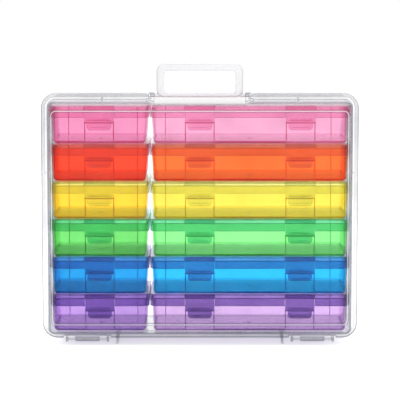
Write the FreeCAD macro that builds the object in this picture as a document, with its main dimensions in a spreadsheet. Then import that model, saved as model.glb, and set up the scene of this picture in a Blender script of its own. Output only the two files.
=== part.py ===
import FreeCAD, Part
import math
import os

import Sketcher

# A clear carry case that stands on its hinge side and holds six rows of coloured snap-lid
# boxes, a small and a large box in each row.  Millimetres, +X right, +Y to the back, +Z up,
# with the origin on the table under the middle of the case.

DIMENSIONS = [
    # the boxes
    ("small_box_length", 118.8, "length of a small box over its lid"),
    ("large_box_length", 238.8, "length of a large box over its lid"),
    ("box_depth", 112.0, "front to back over a box lid"),
    ("box_height", 45.0, "tray bottom to lid top"),
    ("column_gap", 1.0, "gap between the small and large lids"),
    ("stack_gap", 0.3, "gap under each box"),
    # box lids
    ("lid_skirt_height", 14.4, "height of a box lid's skirt, with its plate"),
    ("lid_skirt_wall", 1.6, "thickness of the skirt"),
    ("lid_plate", 1.8, "thickness of the lid's top plate"),
    ("lid_corner_radius", 8.5, "upright corners of a box lid"),
    ("skirt_clearance", 0.3, "gap between skirt and tray"),
    ("rim_drop", 5.4, "tray rim below the lid's top"),
    # trays
    ("tray_wall", 1.6, "thickness of a tray's walls"),
    ("tray_floor", 1.6, "thickness of a tray's floor"),
    ("tray_draft", 3.6, "taper of the tray's walls, degrees"),
    ("tray_corner", 5.0, "cut of the tray's upright corners at the rim"),
    ("tray_bottom_bevel", 2.6, "bevel of the bottom edge"),
    ("panel_recess", 0.7, "depth of the pressed panel under a latch"),
    # latches
    ("latch_width", 35.0, "width of a latch flap"),
    ("latch_length", 20.2, "lid top to the flap's lower edge"),
    ("latch_thickness", 1.6, "thickness of the flap"),
    ("latch_gap", 0.5, "slit beside and behind a latch"),
    ("latch_pivot_drop", 0.9, "flex line below the lid's top"),
    ("latch_spacing", 120.0, "between the two latches of a large box"),
    ("lip_width", 29.0, "width of the pull lip"),
    ("lip_length", 11.5, "height of the pull lip"),
    ("lip_reach", 29.0, "lid top to the lip's lower edge"),
    ("lip_thickness", 1.4, "how far the lip stands proud of the flap"),
    ("lip_corner", 3.0, "cut corners of the lip"),
    ("catch_width", 24.0, "width of the snap ridge and hook"),
    ("catch_drop", 16.0, "lid top to the snap ridge"),
    ("catch_height", 1.4, "height of the snap ridge and hook"),
    ("catch_rise", 0.6, "how far the snap ridge stands out"),
    ("hook_rise", 0.7, "how far the latch hook reaches in"),
    ("catch_gap", 0.4, "play between ridge and hook"),
    # the case
    ("case_wall", 2.0, "wall of both halves of the case"),
    ("side_clearance", 0.8, "between boxes and side walls"),
    ("top_clearance", 4.8, "above the top row"),
    ("back_clearance", 0.6, "behind the boxes"),
    ("box_protrusion", 9.5, "boxes stand this far in front of the parting plane"),
    ("case_corner_radius", 8.8, "outer corners of the case walls"),
    ("back_bevel", 2.0, "bevel of the back edges"),
    ("front_depth", 24.0, "parting plane to the lid's front face"),
    ("front_draft", 2.5, "taper of the front lid's walls, degrees"),
    ("front_bevel", 2.4, "bevel of the lid's front edges"),
    ("lid_relief", 0.6, "front lid's cavity beyond the rear one, so that it clears the boxes"),
    ("parting_gap", 0.3, "gap between the two flanges"),
    # flange round the parting plane
    ("flange_side", 7.0, "flange beyond the side walls"),
    ("flange_top", 8.0, "flange beyond the top wall"),
    ("flange_bottom", 6.4, "flange beyond the bottom wall"),
    ("flange_thickness", 2.5, "thickness of each flange"),
    ("flange_radius", 18.0, "outer corner radius"),
    ("rim_width", 4.5, "raised rim round the lid's flange"),
    ("rim_rise", 1.2, "height of that rim"),
    # raised panel on the front lid
    ("panel_side_margin", 5.0, "panel edge to the lid's side wall"),
    ("panel_top_margin", 11.0, "panel edge to the lid's top wall"),
    ("panel_bottom_margin", 11.8, "panel edge to the lid's bottom wall"),
    ("panel_rise", 1.5, "height of the panel"),
    ("panel_bevel", 35.0, "slope of the panel's edge, degrees"),
    ("panel_radius", 7.0, "corner radius of the panel"),
    # flange ribs
    ("rib_thickness", 1.6, "thickness of the flange ribs"),
    ("rib_depth", 6.0, "how far a rib runs forward along the wall"),
    ("top_rib_spacing", 233.0, "between the two top ribs"),
    ("low_rib_height", 92.0, "lower side ribs above the flange's bottom edge"),
    ("high_rib_height", 200.0, "upper side ribs above the flange's bottom edge"),
    # hinges
    ("hinge_inset", 53.6, "from the flange's end to the middle of a hinge"),
    ("hinge_drop", 2.0, "hinge axis below the flange's bottom edge"),
    ("knuckle_length", 29.0, "length of the lid's knuckle"),
    ("knuckle_radius", 3.0, "outer radius of the knuckle"),
    ("lug_spacing", 49.2, "between the two lugs of a hinge"),
    ("lug_thickness", 3.0, "thickness of a lug"),
    ("lug_radius", 3.5, "outer radius of a lug"),
    ("pin_radius", 1.5, "hinge pin"),
    ("pin_clearance", 0.05, "running clearance of pin in knuckle and pivot in ear"),
    ("pin_press", 0.01, "squeeze of a pin in its lugs"),
    ("hinge_notch_depth", 2.5, "relief in both flanges above the hinge"),
    ("hinge_notch_margin", 2.0, "relief beyond the lugs"),
    # feet
    ("foot_drop", 10.0, "feet below the flange's bottom edge"),
    ("foot_spacing", 200.0, "between the two feet"),
    ("foot_thickness", 2.0, "thickness of a foot rib"),
    ("foot_setback", 6.0, "parting plane to the front of a foot"),
    ("foot_back", 5.0, "back of a foot to the back wall"),
    ("foot_slope", 2.0, "slope at both ends of a foot"),
    # handle
    ("handle_width", 104.0, "over the handle's legs"),
    ("handle_height", 41.0, "lower bar to grip"),
    ("handle_depth", 8.0, "front to back"),
    ("grip_height", 9.0, "grip bar"),
    ("leg_width", 9.6, "legs"),
    ("bar_height", 5.0, "lower bar"),
    ("handle_radius", 10.0, "outer corner radius"),
    ("opening_radius", 5.0, "corner radius of the finger opening"),
    ("handle_bevel", 1.6, "bevel of the handle's edges"),
    ("handle_setback", 9.0, "parting plane to the pivot axis"),
    ("pivot_drop", 3.5, "pivot axis below the top of the flange"),
    ("pivot_radius", 1.9, "pivot stub"),
    ("pivot_length", 4.5, "pivot stub inside its ear"),
    ("ear_gap", 2.4, "gap between handle and ear"),
    ("ear_thickness", 7.0, "ear along X"),
    ("ear_radius", 3.5, "rounded top of an ear"),
    ("notch_depth", 10.0, "handle notch in the flange"),
    ("notch_slope", 9.0, "run of the notch's sloping sides"),
    ("notch_rounding", 5.0, "rounding at the top of those sides"),
    ("dip_depth", 3.4, "the top wall dips this much under the handle"),
]

COLOURS = ["pink", "red", "yellow", "green", "blue", "purple"]  # rows from top to bottom
ROWS = len(COLOURS)

doc = FreeCAD.newDocument("storage_case")
sheet = doc.addObject("Spreadsheet::Sheet", "dims")
for row, (alias, value, meaning) in enumerate(DIMENSIONS, start=1):
    sheet.set(f"A{row}", meaning)
    sheet.set(f"B{row}", str(value))
    sheet.setAlias(f"B{row}", alias)
doc.recompute()


class Dims:
    """Names a cell of the sheet in an expression: D.case_wall gives 'dims.case_wall'."""

    def __getattr__(self, alias):
        return f"dims.{alias}"


D = Dims()

# Sizes that follow from the sheet, as expressions.
INNER_W = (f"({D.small_box_length} + {D.large_box_length} + {D.column_gap}"
           f" + 2 * {D.side_clearance})")
INNER_H = f"({ROWS} * ({D.box_height} + {D.stack_gap}) + {D.top_clearance})"
OUTER_W = f"({INNER_W} + 2 * {D.case_wall})"
OUTER_H = f"({INNER_H} + 2 * {D.case_wall})"
FLANGE_W = f"({OUTER_W} + 2 * {D.flange_side})"
FLANGE_H = f"({OUTER_H} + {D.flange_top} + {D.flange_bottom})"
WALL_TOP = f"({D.flange_bottom} + {OUTER_H})"
REAR_DEPTH = f"({D.box_depth} - {D.box_protrusion} + {D.back_clearance} + {D.case_wall})"
FRONT_DEPTH = f"({D.front_depth} + {D.panel_rise})"
PARTING_Y = f"(({FRONT_DEPTH} - {REAR_DEPTH}) / 2)"
TRAY_HEIGHT = f"({D.box_height} - {D.rim_drop})"
SKIRT_INSET = f"({D.lid_skirt_wall} + {D.skirt_clearance})"
NOTCH_HALF = f"({D.handle_width} / 2 + {D.ear_gap})"
HINGE_X = f"({FLANGE_W} / 2 - {D.hinge_inset})"


def value(expression):
    """The number an expression gives with the sheet as it stands."""
    return float(sheet.evalExpression(expression))


def origin_plane(body, role):
    return next(plane for plane in body.Origin.OriginFeatures if plane.Role == role)


def new_body(label, x="0", y="0", z="0"):
    """An empty body whose origin sits at the given expressions."""
    body = doc.addObject("PartDesign::Body", label)
    body.Label = label
    for axis, expression in zip("xyz", (x, y, z)):
        body.setExpression(f"Placement.Base.{axis}", expression)
    return body


def new_sketch(body, name, role, offset="0"):
    """A sketch on one of the body's own planes, moved along the plane's normal.

    The normals are +Z for XY_Plane, -Y for XZ_Plane and +X for YZ_Plane."""
    sketch = body.newObject("Sketcher::SketchObject", f"{body.Name}_{name}")
    sketch.AttachmentSupport = [(origin_plane(body, role), "")]
    sketch.MapMode = "FlatFace"
    sketch.setExpression("AttachmentOffset.Base.z", offset)
    return sketch


def bind(sketch, constraint, expression):
    """Adds a dimension and ties it to the sheet."""
    index = sketch.addConstraint(constraint)
    sketch.setExpression(f"Constraints[{index}]", expression)


def place_point(sketch, edge, end, x, y):
    """Holds an end of an edge at x, y from the sketch's origin."""
    bind(sketch, Sketcher.Constraint("DistanceX", -1, 1, edge, end, value(x)), x)
    bind(sketch, Sketcher.Constraint("DistanceY", -1, 1, edge, end, value(y)), y)


def polygon(sketch, corners):
    """A closed outline of straight lines through corners given as expressions."""
    first = sketch.GeometryCount
    points = [FreeCAD.Vector(value(x), value(y), 0) for x, y in corners]
    for start, end in zip(points, points[1:] + points[:1]):
        sketch.addGeometry(Part.LineSegment(start, end))
    for index in range(len(points)):
        following = first + (index + 1) % len(points)
        sketch.addConstraint(Sketcher.Constraint("Coincident", first + index, 2, following, 1))
    for index, (x, y) in enumerate(corners):
        place_point(sketch, first + index, 1, x, y)


def rectangle(sketch, left, bottom, length, height):
    right = f"({left}) + {length}"
    top = f"({bottom}) + {height}"
    polygon(sketch, [(left, bottom), (right, bottom), (right, top), (left, top)])


def rounded_rectangle(sketch, left, bottom, length, height, radius):
    """Four lines joined by four equal tangent arcs."""
    x0, y0, r = value(left), value(bottom), value(radius)
    x1, y1 = x0 + value(length), y0 + value(height)
    first = sketch.GeometryCount
    ends = [((x0 + r, y0), (x1 - r, y0)), ((x1, y0 + r), (x1, y1 - r)),
            ((x1 - r, y1), (x0 + r, y1)), ((x0, y1 - r), (x0, y0 + r))]
    for start, end in ends:
        sketch.addGeometry(Part.LineSegment(FreeCAD.Vector(*start, 0), FreeCAD.Vector(*end, 0)))
    centres = [(x1 - r, y0 + r), (x1 - r, y1 - r), (x0 + r, y1 - r), (x0 + r, y0 + r)]
    for turn, centre in enumerate(centres):
        circle_geometry = Part.Circle(FreeCAD.Vector(*centre, 0), FreeCAD.Vector(0, 0, 1), r)
        start = (turn - 1) * math.pi / 2
        sketch.addGeometry(Part.ArcOfCircle(circle_geometry, start, start + math.pi / 2))
    for index in range(4):
        line, arc, following = first + index, first + 4 + index, first + (index + 1) % 4
        sketch.addConstraint(Sketcher.Constraint("Tangent", line, 2, arc, 1))
        sketch.addConstraint(Sketcher.Constraint("Tangent", arc, 2, following, 1))
        sketch.addConstraint(Sketcher.Constraint("Vertical" if index % 2 else "Horizontal", line))
    for arc in range(first + 5, first + 8):
        sketch.addConstraint(Sketcher.Constraint("Equal", first + 4, arc))
    bind(sketch, Sketcher.Constraint("Radius", first + 4, r), radius)
    bind(sketch, Sketcher.Constraint("DistanceX", first + 3, 1, first + 1, 1, x1 - x0), length)
    bind(sketch, Sketcher.Constraint("DistanceY", first, 1, first + 2, 1, y1 - y0), height)
    bind(sketch, Sketcher.Constraint("DistanceX", -1, 1, first + 3, 1, x0), left)
    bind(sketch, Sketcher.Constraint("DistanceY", -1, 1, first, 1, y0), bottom)


def circle(sketch, x, y, radius):
    centre = FreeCAD.Vector(value(x), value(y), 0)
    index = sketch.addGeometry(Part.Circle(centre, FreeCAD.Vector(0, 0, 1), value(radius)))
    place_point(sketch, index, 3, x, y)
    bind(sketch, Sketcher.Constraint("Radius", index, value(radius)), radius)


def extrude(kind, sketch, length, against_normal, taper):
    body = sketch.getParentGeoFeatureGroup()
    feature = body.newObject(f"PartDesign::{kind}", f"{sketch.Name}_{kind.lower()}")
    feature.Profile = sketch
    feature.setExpression("Length", length)
    feature.Reversed = against_normal
    if taper:
        feature.setExpression("TaperAngle", taper)
    return feature


def pad(sketch, length, against_normal=False, taper=None):
    """Adds material along the sketch's normal, or against it."""
    return extrude("Pad", sketch, length, against_normal, taper)


def pocket(sketch, depth, along_normal=False, taper=None):
    """Removes material against the sketch's normal, or along it; it has to cut something."""
    body = sketch.getParentGeoFeatureGroup()
    body.Tip.recompute(True)
    before = body.Tip.Shape.Volume
    feature = extrude("Pocket", sketch, depth, along_normal, taper)
    feature.recompute(True)
    if feature.Shape.Volume > before - 1e-3:
        raise RuntimeError(f"{feature.Name} cuts nothing")
    return feature


def edges_in_plane(feature, axis, position):
    """Names of the edges that lie wholly in one plane across an axis."""
    feature.recompute(True)
    names = []
    for index, edge in enumerate(feature.Shape.Edges, start=1):
        box = edge.BoundBox
        low, high = getattr(box, f"{axis}Min"), getattr(box, f"{axis}Max")
        if abs(low - position) < 0.01 and abs(high - position) < 0.01:
            names.append(f"Edge{index}")
    return names


def dress_edges(kind, size_name, feature, edges, size):
    body = feature.getParentGeoFeatureGroup()
    dressed = body.newObject(f"PartDesign::{kind}", f"{feature.Name}_{kind.lower()}")
    dressed.Base = (feature, edges)
    dressed.setExpression(size_name, size)
    return dressed


def fillet(feature, edges, radius):
    return dress_edges("Fillet", "Radius", feature, edges, radius)


def bevel(feature, edges, size):
    return dress_edges("Chamfer", "Size", feature, edges, size)


def draft_walls(feature, top, angle, outer):
    """Leans the outer or inner upright faces inwards, turning them about the rim at height top."""
    feature.recompute(True)
    upright, rim = [], None
    for index, face in enumerate(feature.Shape.Faces, start=1):
        middle = face.CenterOfMass
        normal = face.normalAt(*face.Surface.parameter(middle))
        if abs(normal.z) < 1e-6 and (normal.x * middle.x + normal.y * middle.y > 0) == outer:
            upright.append(f"Face{index}")
        elif normal.z > 0.999 and abs(middle.z - top) < 1e-6:
            rim = f"Face{index}"
    body = feature.getParentGeoFeatureGroup()
    leaning = body.newObject("PartDesign::Draft", f"{feature.Name}_draft")
    leaning.Base = (feature, upright)
    leaning.NeutralPlane = (feature, [rim])
    leaning.Reversed = outer
    leaning.setExpression("Angle", angle)
    return leaning


def mirror_across_middle(body, features):
    """Repeats features on the other side of the body's YZ plane."""
    mirrored = body.newObject("PartDesign::Mirrored", f"{body.Name}_mirror")
    mirrored.Originals = features
    mirrored.MirrorPlane = (origin_plane(body, "YZ_Plane"), [""])
    body.Tip = mirrored
    return mirrored


def handle_notch(body, parting_offset, along_normal):
    """Cuts the flange away where the handle stands, down to just above the dipped wall."""
    notch = new_sketch(body, "handle_notch", "XZ_Plane", parting_offset)
    foot = NOTCH_HALF
    mouth = f"({NOTCH_HALF} + {D.notch_slope})"
    floor = f"({FLANGE_H} - {D.notch_depth})"
    above = f"{FLANGE_H} + 1"
    polygon(notch, [(f"-{foot}", floor), (foot, floor), (mouth, FLANGE_H), (mouth, above),
                    (f"-{mouth}", above), (f"-{mouth}", FLANGE_H)])
    cut = pocket(notch, f"{D.flange_thickness} + {D.rim_rise}", along_normal)
    corners = [f"Edge{index}" for index, edge in enumerate(cut.Shape.Edges, start=1)
               if abs(edge.BoundBox.ZMin - value(FLANGE_H)) < 0.01
               and abs(edge.BoundBox.XMax - edge.BoundBox.XMin) < 0.01
               and abs(abs(edge.BoundBox.XMin) - value(mouth)) < 0.01]
    return fillet(cut, corners, D.notch_rounding)


def wall_dip(body, parting_offset, length, backwards):
    """Lowers the top wall under the handle, at its own thickness, over one half's depth."""
    foot = NOTCH_HALF
    mouth = f"({NOTCH_HALF} + {D.notch_slope})"
    low = f"({WALL_TOP} - {D.dip_depth})"
    above = f"{WALL_TOP} + 1"
    outside = [(f"-{mouth}", WALL_TOP), (f"-{foot}", low), (foot, low), (mouth, WALL_TOP)]
    cut = new_sketch(body, "dip", "XZ_Plane", parting_offset)
    polygon(cut, outside + [(mouth, above), (f"-{mouth}", above)])
    pocket(cut, length, along_normal=not backwards)
    band = new_sketch(body, "dip_wall", "XZ_Plane", parting_offset)
    inside = [(x, f"{z} - {D.case_wall}") for x, z in reversed(outside)]
    polygon(band, outside + inside)
    pad(band, length, against_normal=backwards)


def hinge_notch(body, parting_offset, along_normal):
    """Relieves the flange's lower edge round one hinge."""
    half = f"({D.lug_spacing} / 2 + {D.lug_thickness} / 2 + {D.hinge_notch_margin})"
    notch = new_sketch(body, "hinge_notch", "XZ_Plane", parting_offset)
    rectangle(notch, f"{HINGE_X} - {half}", f"-{D.hinge_notch_depth}", f"2 * {half}",
              f"2 * {D.hinge_notch_depth}")
    return pocket(notch, f"{D.flange_thickness} + {D.rim_rise}", along_normal)


def build_rear_shell():
    """The deep half: walls and back, flange, handle ears, hinge lugs and two rib feet."""
    body = new_body("rear_shell", "0", PARTING_Y, D.foot_drop)
    walls = new_sketch(body, "walls", "XZ_Plane")
    rounded_rectangle(walls, f"-{OUTER_W} / 2", D.flange_bottom, OUTER_W, OUTER_H,
                      D.case_corner_radius)
    block = pad(walls, REAR_DEPTH, against_normal=True)
    bevel(block, edges_in_plane(block, "Y", value(REAR_DEPTH)), D.back_bevel)

    flange = new_sketch(body, "flange", "XZ_Plane")
    rounded_rectangle(flange, f"-{FLANGE_W} / 2", "0", FLANGE_W, FLANGE_H, D.flange_radius)
    pad(flange, D.flange_thickness, against_normal=True)

    cavity = new_sketch(body, "cavity", "XZ_Plane")
    rounded_rectangle(cavity, f"-{INNER_W} / 2", f"{D.flange_bottom} + {D.case_wall}",
                      INNER_W, INNER_H, f"{D.case_corner_radius} - {D.case_wall}")
    pocket(cavity, f"{REAR_DEPTH} - {D.case_wall}")
    handle_notch(body, "0", along_normal=False)
    wall_dip(body, "0", REAR_DEPTH, backwards=True)

    repeated = [hinge_notch(body, "0", along_normal=False)]
    repeated += build_ear(body)
    repeated += build_lugs(body)
    foot = new_sketch(body, "foot", "YZ_Plane", f"{D.foot_spacing} / 2 - {D.foot_thickness} / 2")
    root = f"{D.flange_bottom} + {D.case_wall} / 2"
    heel = f"({REAR_DEPTH} - {D.foot_back})"
    polygon(foot, [(D.foot_setback, root), (f"{D.foot_setback} + {D.foot_slope}", f"-{D.foot_drop}"),
                   (f"{heel} - {D.foot_slope}", f"-{D.foot_drop}"), (heel, root)])
    repeated.append(pad(foot, D.foot_thickness))
    mirror_across_middle(body, repeated)
    return body


def build_ear(body):
    """A rounded ear on the top wall, with the blind bore that takes a handle pivot."""
    axis_z = f"({FLANGE_H} - {D.pivot_drop})"
    stem = new_sketch(body, "ear_stem", "YZ_Plane", NOTCH_HALF)
    base = f"({WALL_TOP} - {D.dip_depth} - {D.case_wall} / 4)"
    rectangle(stem, f"{D.handle_setback} - {D.ear_radius}", base, f"2 * {D.ear_radius}",
              f"({axis_z} - {base})")
    top = new_sketch(body, "ear_top", "YZ_Plane", NOTCH_HALF)
    circle(top, D.handle_setback, axis_z, D.ear_radius)
    bore = new_sketch(body, "ear_bore", "YZ_Plane", NOTCH_HALF)
    circle(bore, D.handle_setback, axis_z, f"{D.pivot_radius} + {D.pin_clearance}")
    return [pad(stem, D.ear_thickness), pad(top, D.ear_thickness),
            pocket(bore, f"{D.pivot_length} + {D.latch_gap}", along_normal=True)]


def build_lugs(body):
    """Two lugs of one hinge, bored together for the pin."""
    features = []
    for name, side in (("inner_lug", "-"), ("outer_lug", "+")):
        plane = f"{HINGE_X} {side} {D.lug_spacing} / 2 - {D.lug_thickness} / 2"
        web = new_sketch(body, f"{name}_web", "YZ_Plane", plane)
        rectangle(web, "0", f"-{D.hinge_drop}", f"{D.flange_thickness} + {D.case_wall}",
                  f"{D.hinge_drop} + {D.flange_bottom} + {D.case_wall} / 2")
        ring = new_sketch(body, f"{name}_ring", "YZ_Plane", plane)
        circle(ring, "0", f"-{D.hinge_drop}", D.lug_radius)
        features += [pad(web, D.lug_thickness), pad(ring, D.lug_thickness)]
    start = f"{HINGE_X} - {D.lug_spacing} / 2 - {D.lug_thickness} / 2"
    bore = new_sketch(body, "lug_bore", "YZ_Plane", start)
    circle(bore, "0", f"-{D.hinge_drop}", f"{D.pin_radius} - {D.pin_press}")
    features.append(pocket(bore, f"{D.lug_spacing} + {D.lug_thickness}", along_normal=True))
    return features


def build_front_lid():
    """The shallow half: drafted walls, raised panel, rimmed flange, ribs and hinge knuckles."""
    body = new_body("front_lid", "0", PARTING_Y, D.foot_drop)
    walls = new_sketch(body, "walls", "XZ_Plane", D.parting_gap)
    rounded_rectangle(walls, f"-{OUTER_W} / 2", D.flange_bottom, OUTER_W, OUTER_H,
                      D.case_corner_radius)
    block = pad(walls, f"{D.front_depth} - {D.parting_gap}", taper=f"-{D.front_draft}")
    bevel(block, edges_in_plane(block, "Y", -value(D.front_depth)), D.front_bevel)

    panel_w = f"({OUTER_W} - 2 * {D.panel_side_margin})"
    panel_h = f"({OUTER_H} - {D.panel_top_margin} - {D.panel_bottom_margin})"
    panel_bottom = f"{D.flange_bottom} + {D.panel_bottom_margin}"
    panel = new_sketch(body, "panel", "XZ_Plane", D.front_depth)
    rounded_rectangle(panel, f"-{panel_w} / 2", panel_bottom, panel_w, panel_h, D.panel_radius)
    pad(panel, D.panel_rise, taper=f"-{D.panel_bevel}")

    flange = new_sketch(body, "flange", "XZ_Plane", D.parting_gap)
    rounded_rectangle(flange, f"-{FLANGE_W} / 2", "0", FLANGE_W, FLANGE_H, D.flange_radius)
    pad(flange, D.flange_thickness)
    rim = new_sketch(body, "rim", "XZ_Plane", f"{D.parting_gap} + {D.flange_thickness}")
    rounded_rectangle(rim, f"-{FLANGE_W} / 2", "0", FLANGE_W, FLANGE_H, D.flange_radius)
    rounded_rectangle(rim, f"{D.rim_width} - {FLANGE_W} / 2", D.rim_width,
                      f"{FLANGE_W} - 2 * {D.rim_width}", f"{FLANGE_H} - 2 * {D.rim_width}",
                      f"{D.flange_radius} - {D.rim_width}")
    pad(rim, D.rim_rise)

    cavity = new_sketch(body, "cavity", "XZ_Plane", D.parting_gap)
    rounded_rectangle(cavity, f"-{INNER_W} / 2 - {D.lid_relief}",
                      f"{D.flange_bottom} + {D.case_wall} - {D.lid_relief}",
                      f"{INNER_W} + 2 * {D.lid_relief}", f"{INNER_H} + 2 * {D.lid_relief}",
                      f"{D.case_corner_radius} - {D.case_wall} + {D.lid_relief}")
    pocket(cavity, f"{D.front_depth} - {D.parting_gap} - {D.case_wall}", along_normal=True,
           taper=f"-{D.front_draft}")
    hollow = new_sketch(body, "panel_hollow", "XZ_Plane", f"{D.front_depth} - {D.case_wall}")
    rounded_rectangle(hollow, f"{D.case_wall} - {panel_w} / 2", f"{panel_bottom} + {D.case_wall}",
                      f"{panel_w} - 2 * {D.case_wall}", f"{panel_h} - 2 * {D.case_wall}",
                      f"{D.panel_radius} - {D.case_wall}")
    pocket(hollow, D.panel_rise, along_normal=True, taper=f"-{D.panel_bevel}")
    handle_notch(body, D.parting_gap, along_normal=True)
    wall_dip(body, D.parting_gap, f"{D.front_depth} - {D.parting_gap}", backwards=False)

    repeated = [hinge_notch(body, D.parting_gap, along_normal=True)]
    repeated += build_flange_ribs(body)
    repeated += build_knuckle(body)
    mirror_across_middle(body, repeated)
    return body


def build_flange_ribs(body):
    """Three-cornered ribs that brace the lid's flange: one on the top, two on the side."""
    face = f"({D.parting_gap} + {D.flange_thickness} / 2)"
    tip = f"({D.parting_gap} + {D.flange_thickness} + {D.rib_depth})"
    top = new_sketch(body, "top_rib", "YZ_Plane",
                     f"{D.top_rib_spacing} / 2 - {D.rib_thickness} / 2")
    root = f"({WALL_TOP} - {D.case_wall} / 2)"
    polygon(top, [(f"-{face}", root), (f"-{face}", f"{FLANGE_H} - {D.rim_rise}"),
                  (f"-{tip}", root)])
    ribs = [pad(top, D.rib_thickness)]
    root = f"({OUTER_W} / 2 - {D.case_wall} / 2)"
    for name, height in (("low_rib", D.low_rib_height), ("high_rib", D.high_rib_height)):
        side = new_sketch(body, name, "XY_Plane", f"{height} - {D.rib_thickness} / 2")
        polygon(side, [(root, f"-{face}"), (root, f"-{tip}"),
                       (f"{FLANGE_W} / 2 - {D.rim_rise}", f"-{face}")])
        ribs.append(pad(side, D.rib_thickness))
    return ribs


def build_knuckle(body):
    """The lid's hinge knuckle, bored to turn on the pin."""
    start = f"{HINGE_X} - {D.knuckle_length} / 2"
    web = new_sketch(body, "knuckle_web", "YZ_Plane", start)
    rectangle(web, f"-{D.knuckle_radius}", f"-{D.hinge_drop}",
              f"{D.knuckle_radius} - {D.parting_gap}",
              f"{D.hinge_drop} + {D.hinge_notch_depth} + {D.case_wall}")
    barrel = new_sketch(body, "knuckle", "YZ_Plane", start)
    circle(barrel, "0", f"-{D.hinge_drop}", D.knuckle_radius)
    bore = new_sketch(body, "knuckle_bore", "YZ_Plane", start)
    circle(bore, "0", f"-{D.hinge_drop}", f"{D.pin_radius} + {D.pin_clearance}")
    return [pad(web, D.knuckle_length), pad(barrel, D.knuckle_length),
            pocket(bore, D.knuckle_length, along_normal=True)]


def build_hinge_pin(label, side):
    """A plain pin along X, held in a hinge's two lugs."""
    pin = doc.addObject("Part::Cylinder", label)
    pin.Label = label
    pin.setExpression("Radius", D.pin_radius)
    length = f"({D.lug_spacing} + {D.lug_thickness})"
    pin.setExpression("Height", length)
    pin.Placement.Rotation = FreeCAD.Rotation(FreeCAD.Vector(0, 1, 0), 90)
    pin.setExpression("Placement.Base.x", f"{side} * {HINGE_X} - {length} / 2")
    pin.setExpression("Placement.Base.y", PARTING_Y)
    pin.setExpression("Placement.Base.z", f"{D.foot_drop} - {D.hinge_drop}")
    return pin


def build_handle():
    """A rounded loop with a stub pivot at each end of its lower bar; its origin is the pivot axis."""
    body = new_body("carry_handle", "0", f"{PARTING_Y} + {D.handle_setback}",
                    f"{D.foot_drop} + {FLANGE_H} - {D.pivot_drop}")
    front = f"{D.handle_depth} / 2"
    loop = new_sketch(body, "loop", "XZ_Plane", front)
    rounded_rectangle(loop, f"-{D.handle_width} / 2", f"-{D.bar_height} / 2", D.handle_width,
                      D.handle_height, D.handle_radius)
    block = pad(loop, D.handle_depth, against_normal=True)
    outline = edges_in_plane(block, "Y", -value(front)) + edges_in_plane(block, "Y", value(front))
    bevel(block, outline, D.handle_bevel)
    opening = new_sketch(body, "opening", "XZ_Plane", front)
    rounded_rectangle(opening, f"{D.leg_width} - {D.handle_width} / 2", f"{D.bar_height} / 2",
                      f"{D.handle_width} - 2 * {D.leg_width}",
                      f"{D.handle_height} - {D.bar_height} - {D.grip_height}", D.opening_radius)
    pocket(opening, D.handle_depth)
    shoulder = f"({D.ear_gap} - {D.latch_gap})"
    stubs = []
    for name, reach, radius in (("shoulder", shoulder, f"{D.bar_height} / 2"),
                                ("stub", f"{D.ear_gap} + {D.pivot_length}", D.pivot_radius)):
        end = new_sketch(body, name, "YZ_Plane", f"{D.handle_width} / 2 - {D.leg_width} / 2")
        circle(end, "0", "0", radius)
        stubs.append(pad(end, f"{reach} + {D.leg_width} / 2"))
    mirror_across_middle(body, stubs)
    return body


def latch_places(kind):
    """Where the latches sit along a box: one in the middle, or two on a large box."""
    if kind == "small":
        return [("latch", "0")]
    half = f"{D.latch_spacing} / 2"
    return [("left_latch", f"-{half}"), ("right_latch", half)]


def box_position(kind, row):
    """Middle of a box's footprint; row 0 is the top row."""
    if kind == "small":
        x = f"{D.side_clearance} + {D.small_box_length} / 2 - {INNER_W} / 2"
    else:
        x = f"{INNER_W} / 2 - {D.side_clearance} - {D.large_box_length} / 2"
    y = f"{PARTING_Y} - {D.box_protrusion} + {D.box_depth} / 2"
    below = ROWS - 1 - row
    z = (f"{D.foot_drop} + {D.flange_bottom} + {D.case_wall} + {D.stack_gap}"
         f" + {below} * ({D.box_height} + {D.stack_gap})")
    return x, y, z


def cut_corner_rectangle(sketch, length, depth, corner):
    """A rectangle about the origin with its four corners cut off at 45 degrees."""
    x, y = f"({length}) / 2", f"({depth}) / 2"
    inner_x, inner_y = f"({x} - {corner})", f"({y} - {corner})"
    polygon(sketch, [(f"-{inner_x}", f"-{y}"), (inner_x, f"-{y}"), (x, f"-{inner_y}"), (x, inner_y),
                     (inner_x, y), (f"-{inner_x}", y), (f"-{x}", inner_y), (f"-{x}", f"-{inner_y}")])


def front_face_sketch(body, name):
    """A sketch on the tray's leaning front face, with its origin at the middle of the rim."""
    sketch = new_sketch(body, name, "XZ_Plane", f"{D.box_depth} / 2 - {SKIRT_INSET}")
    sketch.setExpression("AttachmentOffset.Base.y", TRAY_HEIGHT)
    sketch.AttachmentOffset = FreeCAD.Placement(
        sketch.AttachmentOffset.Base, FreeCAD.Rotation(FreeCAD.Vector(1, 0, 0), 1))
    sketch.setExpression("AttachmentOffset.Rotation.Angle", D.tray_draft)
    return sketch


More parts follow.
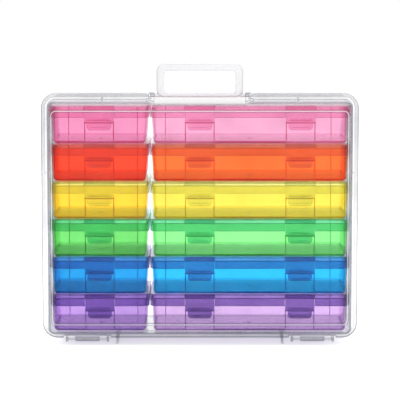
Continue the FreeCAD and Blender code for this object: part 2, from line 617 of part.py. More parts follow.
def build_tray(label, kind, row):
    """A drafted tray with a bevelled bottom, a pressed panel and a snap ridge under each latch."""
    body = new_body(label, *box_position(kind, row))
    length = f"(dims.{kind}_box_length - 2 * {SKIRT_INSET})"
    depth = f"({D.box_depth} - 2 * {SKIRT_INSET})"
    outside = new_sketch(body, "outside", "XY_Plane", TRAY_HEIGHT)
    cut_corner_rectangle(outside, length, depth, D.tray_corner)
    pad(outside, TRAY_HEIGHT, against_normal=True)
    inside = new_sketch(body, "inside", "XY_Plane", TRAY_HEIGHT)
    cut_corner_rectangle(inside, f"{length} - 2 * {D.tray_wall}", f"{depth} - 2 * {D.tray_wall}",
                         f"({D.tray_corner} - 0.59 * {D.tray_wall})")
    block = pocket(inside, f"{TRAY_HEIGHT} - {D.tray_floor}")
    for outer in (False, True):
        block = draft_walls(block, value(TRAY_HEIGHT), D.tray_draft, outer)
    bevel(block, edges_in_plane(block, "Z", 0), D.tray_bottom_bevel)
    panel_top = f"({D.latch_length} - {D.rim_drop})"
    for name, x in latch_places(kind):
        panel = front_face_sketch(body, f"{name}_panel")
        rectangle(panel, f"{x} - {D.latch_width} / 2", f"-{TRAY_HEIGHT} * 1.1", D.latch_width,
                  f"{TRAY_HEIGHT} * 1.1 - {panel_top}")
        pocket(panel, D.panel_recess)
        ridge = front_face_sketch(body, f"{name}_ridge")
        rectangle(ridge, f"{x} - {D.catch_width} / 2",
                  f"{D.rim_drop} - {D.catch_drop} - {D.catch_height}", D.catch_width, D.catch_height)
        pad(ridge, D.catch_rise)
    return body


def build_box_lid(label, kind, row):
    """A skirted lid that seats on the tray's rim, slotted at the front for its latches."""
    body = new_body(label, *box_position(kind, row))
    length = f"dims.{kind}_box_length"
    skirt_bottom = f"({D.box_height} - {D.lid_skirt_height})"
    outside = new_sketch(body, "outside", "XY_Plane", skirt_bottom)
    rounded_rectangle(outside, f"-{length} / 2", f"-{D.box_depth} / 2", length, D.box_depth,
                      D.lid_corner_radius)
    pad(outside, D.lid_skirt_height)
    seat = new_sketch(body, "seat", "XY_Plane", skirt_bottom)
    cut_corner_rectangle(seat, f"{length} - 2 * {D.lid_skirt_wall}",
                         f"{D.box_depth} - 2 * {D.lid_skirt_wall}", D.tray_corner)
    pocket(seat, f"{D.lid_skirt_height} - {D.rim_drop}", along_normal=True)
    ledge = f"({SKIRT_INSET} + {D.tray_wall})"
    hollow = new_sketch(body, "hollow", "XY_Plane", skirt_bottom)
    rectangle(hollow, f"{ledge} - {length} / 2", f"{ledge} - {D.box_depth} / 2",
              f"{length} - 2 * {ledge}", f"{D.box_depth} - 2 * {ledge}")
    pocket(hollow, f"{D.lid_skirt_height} - {D.lid_plate}", along_normal=True)
    for name, x in latch_places(kind):
        slot = new_sketch(body, f"{name}_slot", "XZ_Plane", f"{D.box_depth} / 2")
        rectangle(slot, f"{x} - {D.latch_width} / 2 - {D.latch_gap}", f"{skirt_bottom} - 1",
                  f"{D.latch_width} + 2 * {D.latch_gap}", f"{D.lid_skirt_height} + 2")
        pocket(slot, f"{D.latch_thickness} + {D.latch_gap}")
    return body


def build_latch(label, kind, row, offset):
    """A flap with a pull lip outside and a snap hook inside; its origin is on the flex line."""
    x, y, z = box_position(kind, row)
    body = new_body(label, f"{x} + {offset}",
                    f"{y} - {D.box_depth} / 2 + {D.latch_thickness} / 2",
                    f"{z} + {D.box_height} - {D.latch_pivot_drop}")
    front = f"{D.latch_thickness} / 2"
    flap = new_sketch(body, "flap", "XZ_Plane", f"-{front}")
    rectangle(flap, f"-{D.latch_width} / 2", f"{D.latch_pivot_drop} - {D.latch_length}",
              D.latch_width, D.latch_length)
    pad(flap, D.latch_thickness)
    lip = new_sketch(body, "lip", "XZ_Plane", front)
    half = f"({D.lip_width} / 2)"
    inset = f"({D.lip_width} / 2 - {D.lip_corner})"
    low = f"({D.latch_pivot_drop} - {D.lip_reach})"
    high = f"({low} + {D.lip_length})"
    shoulder = f"({low} + {D.lip_corner})"
    polygon(lip, [(f"-{inset}", low), (inset, low), (half, shoulder), (half, high),
                  (f"-{half}", high), (f"-{half}", shoulder)])
    pad(lip, D.lip_thickness)
    hook = new_sketch(body, "hook", "XZ_Plane", f"-{front}")
    hook_top = f"({D.catch_drop} + {D.catch_height} + {D.catch_gap})"
    rectangle(hook, f"-{D.catch_width} / 2",
              f"{D.latch_pivot_drop} - {hook_top} - {D.catch_height}", D.catch_width, D.catch_height)
    pad(hook, D.hook_rise, against_normal=True)
    return body


parts = [build_rear_shell(), build_front_lid(), build_handle(),
         build_hinge_pin("left_hinge_pin", "-1"), build_hinge_pin("right_hinge_pin", "1")]
for row, colour in enumerate(COLOURS):
    for kind in ("small", "large"):
        box = f"{colour}_{kind}"
        parts.append(build_tray(f"{box}_tray", kind, row))
        parts.append(build_box_lid(f"{box}_lid", kind, row))
        for name, offset in latch_places(kind):
            parts.append(build_latch(f"{box}_{name}", kind, row, offset))

doc.recompute()
for item in doc.Objects:
    if "Invalid" in item.State or "Error" in item.State:
        raise RuntimeError(f"{item.Name} failed: {item.getStatusString()}")
for part in parts:
    if part.Shape.isNull() or not part.Shape.isValid() or len(part.Shape.Solids) != 1:
        raise RuntimeError(f"{part.Label} is not one valid solid")

os.makedirs("parts", exist_ok=True)
for part in parts:
    part.Shape.exportStep(f"parts/{part.Label}.step")
print(len(parts), "parts written")
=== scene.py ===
import math

import bmesh
import bpy
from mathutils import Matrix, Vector


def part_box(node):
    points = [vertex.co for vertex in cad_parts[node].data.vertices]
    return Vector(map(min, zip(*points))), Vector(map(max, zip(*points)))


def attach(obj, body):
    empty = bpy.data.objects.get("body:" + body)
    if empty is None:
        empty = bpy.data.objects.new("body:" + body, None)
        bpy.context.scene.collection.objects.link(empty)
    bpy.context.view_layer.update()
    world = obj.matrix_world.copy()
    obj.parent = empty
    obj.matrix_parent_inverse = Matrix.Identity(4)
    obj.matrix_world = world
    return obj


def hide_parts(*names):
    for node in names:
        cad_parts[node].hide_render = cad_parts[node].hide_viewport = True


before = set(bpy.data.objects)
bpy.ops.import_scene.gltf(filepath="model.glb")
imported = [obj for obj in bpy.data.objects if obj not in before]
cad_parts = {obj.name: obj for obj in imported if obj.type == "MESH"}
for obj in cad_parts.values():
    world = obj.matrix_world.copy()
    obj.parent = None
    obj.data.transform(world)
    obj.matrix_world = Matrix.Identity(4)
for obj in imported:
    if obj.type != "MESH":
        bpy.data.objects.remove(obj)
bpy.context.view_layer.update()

MM = 0.001
SCENE = bpy.context.scene
LATCHES = {"small": ("latch",), "large": ("left_latch", "right_latch")}
WHITE = (1, 1, 1, 1)

# Each moulding's finishes, in the order of its list of materials.
WALL, EDGE, LEVEL, BASE, BAND = range(5)

# Tints are what one surface lets through, in linear colour.
# The second colour of each row is what the plastic scatters back.
TRAY_TINTS = {
    "pink": {"small": ((0.970, 0.750, 0.858), (0.95, 0.32, 0.56)),
             "large": ((0.980, 0.813, 0.896), (1.00, 0.45, 0.68))},
    "red": {"small": ((0.981, 0.510, 0.390), (0.96, 0.09, 0.04)),
            "large": ((0.992, 0.645, 0.420), (1.00, 0.25, 0.05))},
    "yellow": {"small": ((0.970, 0.885, 0.446), (0.93, 0.74, 0.06)),
               "large": ((0.973, 0.930, 0.548), (0.96, 0.86, 0.12))},
    "green": {"small": ((0.637, 0.900, 0.629), (0.24, 0.82, 0.19)),
              "large": ((0.698, 0.937, 0.707), (0.35, 0.90, 0.31))},
    "blue": {"small": ((0.308, 0.731, 0.902), (0.02, 0.42, 0.83)),
             "large": ((0.348, 0.813, 0.942), (0.03, 0.52, 0.87))},
    "purple": {"small": ((0.821, 0.722, 0.900), (0.53, 0.28, 0.79)),
               "large": ((0.887, 0.802, 0.926), (0.69, 0.46, 0.86))},
}
LID_TINTS = {
    "pink": ((0.965, 0.805, 0.880), (0.84, 0.20, 0.38)),
    "red": ((0.905, 0.800, 0.850), (0.86, 0.10, 0.07)),
    "yellow": ((0.885, 0.910, 0.840), (0.80, 0.66, 0.08)),
    "green": ((0.550, 0.825, 0.757), (0.10, 0.62, 0.17)),
    "blue": ((0.620, 0.610, 0.765), (0.04, 0.18, 0.56)),
    "purple": ((0.555, 0.482, 0.712), (0.26, 0.12, 0.54)),
}


class Shading:
    """Puts the nodes of a material or a world together."""

    def __init__(self, owner):
        self.owner = owner
        owner.use_nodes = True
        self.nodes = owner.node_tree.nodes
        self.links = owner.node_tree.links
        self.nodes.clear()

    def node(self, kind, settings=None, **sockets):
        made = self.nodes.new(f"ShaderNode{kind}")
        for name, setting in (settings or {}).items():
            setattr(made, name, setting)
        for name, given in sockets.items():
            self.feed(made.inputs[name.replace("_", " ")], given)
        return made

    def feed(self, socket, given):
        if isinstance(given, bpy.types.NodeSocket):
            self.links.new(given, socket)
        else:
            socket.default_value = given

    def math(self, operation, first, second, clamped=False):
        made = self.node("Math", {"operation": operation, "use_clamp": clamped})
        self.feed(made.inputs[0], first)
        self.feed(made.inputs[1], second)
        return made.outputs[0]

    def blend(self, share, first, second):
        """Mixes two colours. The socket numbers are those that a mix of colours uses."""
        made = self.node("Mix", {"data_type": "RGBA"})
        self.feed(made.inputs[0], share)
        self.feed(made.inputs[6], first)
        self.feed(made.inputs[7], second)
        return made.outputs[2]

    def spread(self, source, low, high, first=0.0, last=1.0):
        made = self.node("MapRange", From_Min=first, From_Max=last, To_Min=low, To_Max=high)
        self.feed(made.inputs["Value"], source)
        return made.outputs[0]

    def mix(self, share, first, second):
        """Mixes two shaders."""
        made = self.node("MixShader", Fac=share)
        self.links.new(first.outputs[0], made.inputs[1])
        self.links.new(second.outputs[0], made.inputs[2])
        return made


def rgba(colour):
    return (*colour, 1.0)


def deepened(colour, power):
    return [c ** power for c in colour]


def darkened(colour, share):
    return [c * share for c in colour]


NOISE_RANGE = (0.3, 0.7)       # where most of a noise's values lie
SCUFF_RANGE = (0.58, 0.75)     # the part of the scratch noise that shows as scuffs
TINT_FALLOFF = 2.2             # how late the glancing tint sets in
TINT_DRIFT = (-0.05, 0.07)
COLOUR_DRIFT = 0.25
DRIFT_SHADE = 0.86
RIPPLE_DEPTH = 0.4 * MM
PLASTIC_IOR = 1.49
STRAIGHT_MIRROR = 0.002        # share of mirror sheen where a face is seen straight on


def see_through_plastic(name, straight, glancing, scattered, solid=0.03, rough=(0.06, 0.2),
                        ripple=0.05, scuffs=0.0, shine=0.95, falloff=5.0):
    """Tinted clear plastic: its own tint at glancing angles, a mirror sheen that grows there,
    slow colour drift from the moulding, a faint ripple in the gloss and, where asked, fine
    scuffs from handling."""
    finish = Shading(bpy.data.materials.new(name))
    place = finish.node("TexCoord").outputs["Object"]
    drift = finish.node("TexNoise", Vector=place, Scale=28.0, Detail=3.0, Distortion=0.6).outputs[0]
    grain = finish.node("TexNoise", Vector=place, Scale=420.0, Detail=2.0).outputs[0]
    facing = finish.node("LayerWeight", Blend=0.5).outputs["Facing"]
    depth = finish.math("POWER", facing, TINT_FALLOFF)
    drifted = finish.math("ADD", depth, finish.spread(drift, *TINT_DRIFT, *NOISE_RANGE),
                          clamped=True)
    tint = finish.blend(drifted, rgba(straight), rgba(glancing))
    colour = finish.blend(finish.spread(drift, 0.0, COLOUR_DRIFT, *NOISE_RANGE),
                          rgba(scattered), rgba(darkened(scattered, DRIFT_SHADE)))
    gloss = finish.spread(grain, *rough, *NOISE_RANGE)
    if scuffs:
        streaks = finish.node("Mapping", Vector=place, Scale=(18.0, 18.0, 260.0),
                              Rotation=(0.0, 0.35, 0.0))
        scratch = finish.node("TexNoise", Vector=streaks.outputs[0], Scale=4.0, Detail=6.0,
                              Roughness=0.7)
        worn = finish.spread(scratch.outputs[0], 0.0, scuffs, *SCUFF_RANGE)
        gloss = finish.math("ADD", gloss, worn)
    bump = finish.node("Bump", Strength=ripple, Distance=RIPPLE_DEPTH, Height=grain).outputs[0]
    skin = finish.node("BsdfPrincipled", Base_Color=colour, Roughness=gloss, IOR=PLASTIC_IOR,
                       Normal=bump)
    window = finish.node("BsdfTransparent", Color=tint)
    mirror = finish.node("BsdfGlossy", Color=WHITE, Roughness=gloss, Normal=bump)
    sheen = finish.spread(finish.math("POWER", facing, falloff), STRAIGHT_MIRROR, shine)
    whole = finish.mix(sheen, finish.mix(solid, window, skin), mirror)
    finish.node("OutputMaterial", Surface=whole.outputs[0])
    return finish.owner


def shaded_edge_of(name, straight, scattered, depth=3.0, solid=0.16):
    """The same plastic where it rounds an edge, deeper and more solid in colour: partly the longer
    path that light runs inside it, partly painted shade for the dark line that an edge of clear
    plastic shows.
    """
    deep = deepened(straight, depth)
    return see_through_plastic(name, deep, darkened(deep, 0.6), darkened(scattered, 0.8),
                               solid=solid, rough=(0.12, 0.26))


CLEAR_WALL = see_through_plastic(
    "clear_case_wall", (0.991, 0.992, 0.993), (0.60, 0.61, 0.63), (0.80, 0.81, 0.82),
    solid=0.008, ripple=0.03, scuffs=0.25, shine=0.4)
CLEAR_LEVEL = see_through_plastic(
    "clear_case_top", (0.991, 0.992, 0.993), (0.90, 0.905, 0.915), (0.80, 0.81, 0.82),
    solid=0.008, ripple=0.03, scuffs=0.25, shine=1.0, falloff=4.0)
# Painted shade: a grey band on the flange's rim, darker than the clear case.
CLEAR_BAND_SHADE = see_through_plastic(
    "clear_flange_rim_shade", (0.70, 0.70, 0.71), (0.52, 0.53, 0.55), (0.70, 0.70, 0.72),
    solid=0.06, rough=(0.1, 0.25))
# The edge finishes are darker than the walls: painted shade for the dark lines along the case's
# edges.
CLEAR_EDGE_SHADE = see_through_plastic(
    "clear_case_edge_shade", (0.70, 0.71, 0.73), (0.46, 0.47, 0.49), (0.62, 0.63, 0.65),
    solid=0.12, rough=(0.1, 0.25))
# Painted highlight: a whiter, half-solid finish on the raised panel's rim, for the light it
# catches.
CLEAR_RIM_HIGHLIGHT = see_through_plastic(
    "clear_panel_rim_highlight", (0.94, 0.94, 0.95), (0.86, 0.86, 0.87), (0.97, 0.97, 0.98),
    solid=0.5, rough=(0.2, 0.35))
MILKY_PLASTIC = see_through_plastic(
    "milky_handle_plastic", (0.93, 0.93, 0.94), (0.66, 0.67, 0.69), (0.84, 0.845, 0.855),
    solid=0.55, rough=(0.24, 0.4))
# Painted shade: the handle's edges darker than its body.
MILKY_EDGE_SHADE = see_through_plastic(
    "milky_handle_edge_shade", (0.80, 0.81, 0.82), (0.5, 0.51, 0.53), (0.72, 0.725, 0.735),
    solid=0.6, rough=(0.26, 0.42))


def merged_mesh(node, join=0.002 * MM, flat=math.radians(0.4)):
    """A copy of a CAD node's mesh with its loose triangles joined into flat faces."""
    shape = bmesh.new()
    shape.from_mesh(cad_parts[node].data)
    bmesh.ops.remove_doubles(shape, verts=shape.verts, dist=join)
    bmesh.ops.dissolve_limit(shape, angle_limit=flat, verts=shape.verts, edges=shape.edges)
    shape.normal_update()
    return shape


UPRIGHT_RISE = 20 * MM             # an upright corner's edges rise more than this
UPRIGHT_ANGLE = math.radians(20)
CORNER_OFFSET = 1.6 * MM
CORNER_SEGMENTS = 4
ROUND = 0.5                        # a bevel's profile


def tray_form(shape):
    """Rounds a tray's upright corners, which the solid has as flat cuts, and marks the bevel
    around its base. Faces that go around the opening are split first, so that none closes it."""
    bmesh.ops.connect_verts_concave(shape, faces=shape.faces)
    uprights = [edge for edge in shape.edges
                if abs(edge.verts[0].co.z - edge.verts[1].co.z) > UPRIGHT_RISE
                and edge.calc_face_angle(0.0) > UPRIGHT_ANGLE]
    bmesh.ops.bevel(shape, geom=uprights, offset=CORNER_OFFSET, offset_type="OFFSET",
                    segments=CORNER_SEGMENTS, profile=ROUND, affect="EDGES",
                    clamp_overlap=False)
    shape.normal_update()
    for face in shape.faces:
        if -0.95 < face.normal.z < -0.35 and face.normal.y < 0.3:
            # the base bevel takes the dark line finish: a painted shade line
            face.material_index = BASE


NARROW_SIDE = 4 * MM


def shell_form(shape):
    """Marks the bevels and the narrow sides of the clear case for the darker edge finish: partly
    the long path where light runs along the wall, partly painted shade for the dark lines at its
    edges.
    """
    for face in shape.faces:
        depths = [corner.co.y for corner in face.verts]
        lean = abs(face.normal.y)
        if 0.4 < lean < 0.92 or (lean < 0.3 and max(depths) - min(depths) < NARROW_SIDE):
            face.material_index = EDGE


KNUCKLE_ZONE = 100 * MM            # the hinge knuckles lie below this height
BAND_STAND = (3.4 * MM, 4.0 * MM)  # how far the flange's rim stands in front of the lid's back
RIM_ANGLE = math.radians(33)
RIM_DEPTH = 0.02 * MM
RIM_OFFSET = 0.55 * MM
RIM_SEGMENTS = 2


def cover_form(shape):
    """The same for the front lid, its flange's rim, and the rim of its raised panel, which catches
    the light and gets a whiter, half-solid finish as a painted highlight."""
    shell_form(shape)
    back = max(corner.co.y for corner in shape.verts if corner.co.z > KNUCKLE_ZONE)
    for face in shape.faces:
        stand = back - face.calc_center_median().y
        if face.normal.y < -0.95 and BAND_STAND[0] < stand < BAND_STAND[1]:
            face.material_index = BAND
    front = min(corner.co.y for corner in shape.verts)
    rim = [edge for edge in shape.edges if edge.calc_face_angle(0.0) > RIM_ANGLE
           and all(corner.co.y < front + RIM_DEPTH for corner in edge.verts)]
    bmesh.ops.bevel(shape, geom=rim, offset=RIM_OFFSET, offset_type="OFFSET",
                    segments=RIM_SEGMENTS, profile=ROUND, affect="EDGES", material=BASE,
                    clamp_overlap=False)


LEVEL_SLOPE = 0.6                  # a level face's normal points up or down more than this
SOFTEN_ANGLE = math.radians(33)
SOFTEN_SEGMENTS = 2
SHARP_ANGLE = math.radians(32)
FACE_WEIGHT = 100


def dress(node, body, finishes, width, form=None):
    """Puts a finished moulding in a CAD node's place, its edges softened and deeper in colour,
    partly as painted shade.
    The finishes are for walls, edges and level faces, and for the base or rim and the band
    that a form marks."""
    shape = merged_mesh(node)
    for face in shape.faces:
        face.material_index = LEVEL if abs(face.normal.z) > LEVEL_SLOPE else WALL
    if form:
        form(shape)
    mesh = bpy.data.meshes.new(f"{node}_moulding")
    for finish in finishes:
        mesh.materials.append(finish)
    shape.to_mesh(mesh)
    shape.free()
    piece = bpy.data.objects.new(f"{node}_moulding", mesh)
    SCENE.collection.objects.link(piece)
    soften = piece.modifiers.new("softened_edges", "BEVEL")
    soften.width = width
    soften.segments = SOFTEN_SEGMENTS
    soften.limit_method = "ANGLE"
    soften.angle_limit = SOFTEN_ANGLE
    soften.use_clamp_overlap = False
    # the softened edges take the darker edge finish, partly painted shade
    soften.material = EDGE
    flatten_modifiers(piece)
    piece.data.shade_smooth()
    piece.data.set_sharp_from_angle(angle=SHARP_ANGLE)
    even = piece.modifiers.new("even_normals", "WEIGHTED_NORMAL")
    even.weight = FACE_WEIGHT
    even.keep_sharp = True
    flatten_modifiers(piece)
    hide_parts(node)
    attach(piece, body)


def flatten_modifiers(piece):
    """Turns an object with modifiers into a plain mesh."""
    graph = bpy.context.evaluated_depsgraph_get()
    made = bpy.data.meshes.new_from_object(piece.evaluated_get(graph))
    made.name = piece.name
    old, piece.data = piece.data, made
    piece.modifiers.clear()
    if old.users == 0:
        bpy.data.meshes.remove(old)


def row_tree(name, form_kind, form_sizes):
    """Geometry Nodes: a straight row of one small moulded form, scaled and turned as asked."""
    tree = bpy.data.node_groups.new(name, "GeometryNodeTree")
    sockets = {}
    for label, kind in (("Start", "NodeSocketVector"), ("Step", "NodeSocketVector"),
                        ("Turn", "NodeSocketRotation"), ("Count", "NodeSocketInt"),
                        ("Size", "NodeSocketVector"), ("Finish", "NodeSocketMaterial")):
        made = tree.interface.new_socket(label, in_out="INPUT", socket_type=kind)
        sockets[label] = made.identifier
    tree.interface.new_socket("Geometry", in_out="OUTPUT", socket_type="NodeSocketGeometry")
    given = tree.nodes.new("NodeGroupInput")
    line = tree.nodes.new("GeometryNodeMeshLine")
    form = tree.nodes.new(form_kind)
    for label, size in form_sizes.items():
        form.inputs[label].default_value = size
    place = tree.nodes.new("GeometryNodeInstanceOnPoints")
    real = tree.nodes.new("GeometryNodeRealizeInstances")
    coat = tree.nodes.new("GeometryNodeSetMaterial")
    result = tree.nodes.new("NodeGroupOutput")
    link = tree.links.new
    link(given.outputs["Start"], line.inputs["Start Location"])
    link(given.outputs["Step"], line.inputs["Offset"])
    link(given.outputs["Count"], line.inputs["Count"])
    link(line.outputs["Mesh"], place.inputs["Points"])
    link(form.outputs["Mesh"], place.inputs["Instance"])
    link(given.outputs["Turn"], place.inputs["Rotation"])
    link(given.outputs["Size"], place.inputs["Scale"])
    link(place.outputs["Instances"], real.inputs["Geometry"])
    link(real.outputs["Geometry"], coat.inputs["Geometry"])
    link(given.outputs["Finish"], coat.inputs["Material"])
    link(coat.outputs["Geometry"], result.inputs["Geometry"])
    return tree, sockets


# Both forms are 1 m across, so that a row's size is the form's real size.
PIPS = row_tree("row_of_pips", "GeometryNodeMeshCone",
                {"Vertices": 12, "Radius Bottom": 0.5, "Radius Top": 0.35, "Depth": 1.0})
RIBS = row_tree("row_of_ribs", "GeometryNodeMeshCube", {"Size": (1.0, 1.0, 1.0)})
ROW_SHARP_ANGLE = math.radians(40)


def moulded_row(name, body, row, finish, start, step, lean, count, size):
    """One row of pips or ribs as a plain mesh that rides on a body; lean is about the x axis."""
    piece = bpy.data.objects.new(name, bpy.data.meshes.new(name))
    SCENE.collection.objects.link(piece)
    maker = piece.modifiers.new(name, "NODES")
    tree, sockets = row
    maker.node_group = tree
    for label, given in (("Start", start), ("Step", step), ("Turn", (lean, 0, 0)),
                         ("Count", count), ("Size", size), ("Finish", finish)):
        maker[sockets[label]] = given
    flatten_modifiers(piece)
    piece.data.shade_smooth()
    piece.data.set_sharp_from_angle(angle=ROW_SHARP_ANGLE)
    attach(piece, body)


CASE_SOFTENING = 0.45 * MM
HANDLE_SOFTENING = 0.5 * MM
PIN_SOFTENING = 0.2 * MM


def dress_case():
    """The two clear halves, the handle and the hinge pins."""
    clear = (CLEAR_WALL, CLEAR_EDGE_SHADE, CLEAR_LEVEL, CLEAR_RIM_HIGHLIGHT, CLEAR_BAND_SHADE)
    milky = (MILKY_PLASTIC, MILKY_EDGE_SHADE, MILKY_PLASTIC)
    dress("rear_shell", "rear_case", clear, CASE_SOFTENING, shell_form)
    dress("front_lid", "front_cover", clear, CASE_SOFTENING, cover_form)
    dress("carry_handle", "handle", milky, HANDLE_SOFTENING)
    for side in ("left", "right"):
        dress(f"{side}_hinge_pin", "rear_case", milky, PIN_SOFTENING)


WALL_LEAN = math.radians(3.6)      # as the trays' walls
FLAP_REACH = 20.2 * MM             # lid top to a latch flap's lower edge
FRAME_FOOT = 2.9 * MM              # above the tray's underside
FRAME_SINK = 0.4 * MM              # the lines' middle, behind the wall's outer face
FRAME_SPACING = 34 * MM
FRAME_WIDTH = 1.0 * MM
FRAME_THICKNESS = 0.6 * MM
BAR_DROP = 0.6 * MM
BAR_LENGTH = 33 * MM
BAR_HEIGHT = 0.9 * MM


def frame_lines(box, finish, latch):
    """Painted shade: the dark frame on the tray's leaning front, two uprights and a bar along the
    flap's edge, for the dark outline that the edges around the latch show in the plastic.
    """
    low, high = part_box(f"{box}_tray")
    left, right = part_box(f"{box}_{latch}")
    middle = (left.x + right.x) / 2
    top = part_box(f"{box}_lid")[1].z - FLAP_REACH
    foot = low.z + FRAME_FOOT
    front = low.y + FRAME_SINK
    slope = math.tan(WALL_LEAN)
    z = (top + foot) / 2
    moulded_row(f"{box}_{latch}_frame", f"{box}_box", RIBS, finish,
                (middle - FRAME_SPACING / 2, front + (high.z - z) * slope, z),
                (FRAME_SPACING, 0, 0), WALL_LEAN, 2, (FRAME_WIDTH, FRAME_THICKNESS, top - foot))
    z = top - BAR_DROP
    moulded_row(f"{box}_{latch}_frame_bar", f"{box}_box", RIBS, finish,
                (middle, front + (high.z - z) * slope, z), (0, 0, 0), WALL_LEAN, 1,
                (BAR_LENGTH, FRAME_THICKNESS, BAR_HEIGHT))


BACK_FOOT = 1.6 * MM               # above the tray's underside
BACK_TOP = 0.5 * MM                # below the tray's rim
BACK_SINK = 1.8 * MM               # the ribs' middle, in front of the wall's outer face
BACK_INSET = 15 * MM
BACK_WIDTH = 0.8 * MM
BACK_THICKNESS = 0.5 * MM


def back_lines(box, finish):
    """Two upright ribs inside the tray's back wall, near its ends, in the dark line finish, whose
    darkness is painted shade.
    """
    low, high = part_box(f"{box}_tray")
    foot, top = low.z + BACK_FOOT, high.z - BACK_TOP
    z = (foot + top) / 2
    back = high.y - BACK_SINK - (high.z - z) * math.tan(WALL_LEAN)
    moulded_row(f"{box}_back_ribs", f"{box}_box", RIBS, finish,
                (low.x + BACK_INSET, back, z), (high.x - low.x - 2 * BACK_INSET, 0, 0),
                -WALL_LEAN, 2, (BACK_WIDTH, BACK_THICKNESS, top - foot))


BOX_SOFTENING = 0.4 * MM
LATCH_SOFTENING = 0.35 * MM
WALL_DEPTH = 2.2                   # a wall's glancing tint, as a power of its straight one
PLATE_DEPTH = 0.5
# the dark line finish: painted shade, far deeper than the plastic's own tint
SHADE_LINE_DEPTH = 6.0
SHADE_LINE_SOLID = 0.08
WALL_SHINE = 0.35
GATE_RISE = 1.55 * MM              # above the tray's underside
GATE_SIZE = (4.8 * MM, 4.8 * MM, 0.5 * MM)
GRIP_COUNT = 9
GRIP_STEP = 2.25 * MM
GRIP_SINK = 0.05 * MM
GRIP_RISE = 3.2 * MM               # above the latch's lower edge
GRIP_SIZE = (1.2 * MM, 1.2 * MM, 0.3 * MM)
GRIP_LEAN = math.radians(90)


def dress_box(colour, kind):
    """A tray, its lid and its latches, with grip pips on the lips, a gate mark on the floor and
    dark lines of painted shade on the tray's front and back."""
    box = f"{colour}_{kind}"
    straight, scattered = TRAY_TINTS[colour][kind]
    tray_wall = see_through_plastic(f"{box}_tray_wall", straight, deepened(straight, WALL_DEPTH),
                                    scattered, shine=WALL_SHINE)
    tray_floor = see_through_plastic(f"{box}_tray_floor", straight, straight, scattered)
    tray_edge_shade = shaded_edge_of(f"{box}_tray_edge_shade", straight, scattered)
    tray_shade_line = shaded_edge_of(f"{box}_tray_shade_line", straight, scattered, SHADE_LINE_DEPTH, SHADE_LINE_SOLID)
    tray = (tray_wall, tray_edge_shade, tray_floor, tray_shade_line)
    skirt, scattered = LID_TINTS[colour]
    lid_skirt = see_through_plastic(f"{box}_lid_skirt", skirt, deepened(skirt, WALL_DEPTH),
                                    scattered, shine=WALL_SHINE)
    lid_plate = see_through_plastic(f"{box}_lid_plate", skirt, deepened(skirt, PLATE_DEPTH),
                                    scattered)
    lid_edge_shade = shaded_edge_of(f"{box}_lid_edge_shade", skirt, scattered)
    lid = (lid_skirt, lid_edge_shade, lid_plate)
    dress(f"{box}_tray", f"{box}_box", tray, BOX_SOFTENING, tray_form)
    dress(f"{box}_lid", f"{box}_box", lid, BOX_SOFTENING)
    low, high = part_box(f"{box}_tray")
    middle = (low + high) / 2
    moulded_row(f"{box}_gate_mark", f"{box}_box", PIPS, tray_edge_shade,
                (middle.x, middle.y, low.z + GATE_RISE), (0, 0, 0), 0, 1, GATE_SIZE)
    back_lines(box, tray_shade_line)
    for latch in LATCHES[kind]:
        node = f"{box}_{latch}"
        dress(node, f"{node}_flap", lid, LATCH_SOFTENING)
        frame_lines(box, tray_shade_line, latch)
        low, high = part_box(node)
        start = ((low.x + high.x) / 2 - (GRIP_COUNT - 1) / 2 * GRIP_STEP, low.y + GRIP_SINK,
                 low.z + GRIP_RISE)
        moulded_row(f"{node}_grip", f"{node}_flap", PIPS, lid_edge_shade, start,
                    (GRIP_STEP, 0, 0), GRIP_LEAN, GRIP_COUNT, GRIP_SIZE)


FLOOR_REACH = 9.0
FLOOR_PAINT = ((0.9, 0.9, 0.9), (0.92, 0.92, 0.92))
FLOOR_GLOW = 0.55                  # lifts the floor to white in the camera's eyes alone
ROOM_LIGHT = 0.55


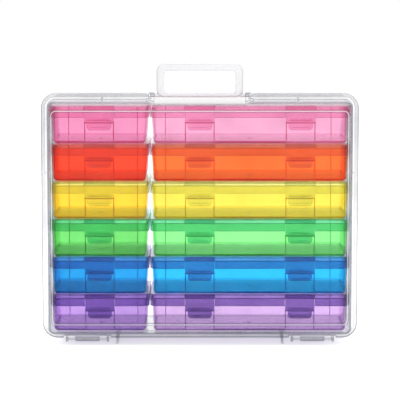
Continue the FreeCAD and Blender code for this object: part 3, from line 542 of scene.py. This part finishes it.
def studio():
    """White sweep: the floor and surroundings read white, and the floor keeps a soft shadow."""
    mesh = bpy.data.meshes.new("studio_floor")
    mesh.from_pydata([(-FLOOR_REACH, -FLOOR_REACH, 0), (FLOOR_REACH, -FLOOR_REACH, 0),
                      (FLOOR_REACH, FLOOR_REACH, 0), (-FLOOR_REACH, FLOOR_REACH, 0)],
                     [], [(0, 1, 2, 3)])
    floor = bpy.data.objects.new("studio_floor", mesh)
    SCENE.collection.objects.link(floor)
    sweep = Shading(bpy.data.materials.new("white_sweep"))
    place = sweep.node("TexCoord").outputs["Object"]
    fleck = sweep.node("TexNoise", Vector=place, Scale=3.0, Detail=2.0).outputs[0]
    paint = sweep.node("BsdfPrincipled", Roughness=0.7,
                       Base_Color=sweep.blend(fleck, *map(rgba, FLOOR_PAINT)))
    seen = sweep.node("LightPath").outputs["Is Camera Ray"]
    glow = sweep.node("Emission", Color=WHITE, Strength=sweep.math("MULTIPLY", seen, FLOOR_GLOW))
    both = sweep.node("AddShader")
    sweep.links.new(paint.outputs[0], both.inputs[0])
    sweep.links.new(glow.outputs[0], both.inputs[1])
    sweep.node("OutputMaterial", Surface=both.outputs[0])
    mesh.materials.append(sweep.owner)

    SCENE.world = bpy.data.worlds.new("white_room")
    room = Shading(SCENE.world)
    path = room.node("LightPath").outputs
    direct = room.math("MAXIMUM", path["Is Camera Ray"], path["Is Glossy Ray"])
    seen = room.math("MAXIMUM", direct, path["Is Transmission Ray"])
    light = room.node("Background", Color=WHITE, Strength=ROOM_LIGHT)
    white = room.node("Background", Color=WHITE)
    room.node("OutputWorld", Surface=room.mix(seen, light, white).outputs[0])


# Each softbox's place, what it points at, its side and its power in watts.
SOFTBOXES = {
    "key_softbox": ((-1.3, -1.9, 1.9), (0, 0, 0.15), 1.6, 38),
    "fill_softbox": ((1.6, -1.6, 1.2), (0, 0, 0.15), 1.4, 18),
    "top_softbox": ((0, 0.4, 2.2), (0, 0, 0.1), 1.8, 24),
}


def softbox(name, spot, aim, side, power):
    lamp = bpy.data.lights.new(name, "AREA")
    lamp.shape = "RECTANGLE"
    lamp.size = lamp.size_y = side
    lamp.energy = power
    holder = bpy.data.objects.new(name, lamp)
    holder.location = spot
    holder.rotation_euler = (Vector(aim) - Vector(spot)).to_track_quat("-Z", "Y").to_euler()
    SCENE.collection.objects.link(holder)


CAMERA_PITCH = math.radians(6.6)
CAMERA_DISTANCE = 2.55
CAMERA_AIM = (0.0002, 0.1769)      # x and z
CAMERA_LENS, CAMERA_SENSOR = 192.0, 36.0
CAMERA_SIGHT = 60.0


def camera():
    """The photograph's view: nearly straight on and a little from above."""
    target = Vector((CAMERA_AIM[0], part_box("rear_shell")[0].y, CAMERA_AIM[1]))
    lens = bpy.data.cameras.new("photo_camera")
    lens.lens, lens.sensor_width = CAMERA_LENS, CAMERA_SENSOR
    lens.clip_end = CAMERA_SIGHT
    holder = bpy.data.objects.new("photo_camera", lens)
    away = Vector((0, -math.cos(CAMERA_PITCH), math.sin(CAMERA_PITCH)))
    holder.location = target + CAMERA_DISTANCE * away
    holder.rotation_euler = (math.pi / 2 - CAMERA_PITCH, 0, 0)
    SCENE.collection.objects.link(holder)
    SCENE.camera = holder


dress_case()
for colour in TRAY_TINTS:
    for kind in LATCHES:
        dress_box(colour, kind)
studio()
for name, settings in SOFTBOXES.items():
    softbox(name, *settings)
camera()
SCENE.view_settings.view_transform = "Standard"
SCENE.cycles.max_bounces = 24
SCENE.cycles.transparent_max_bounces = 96
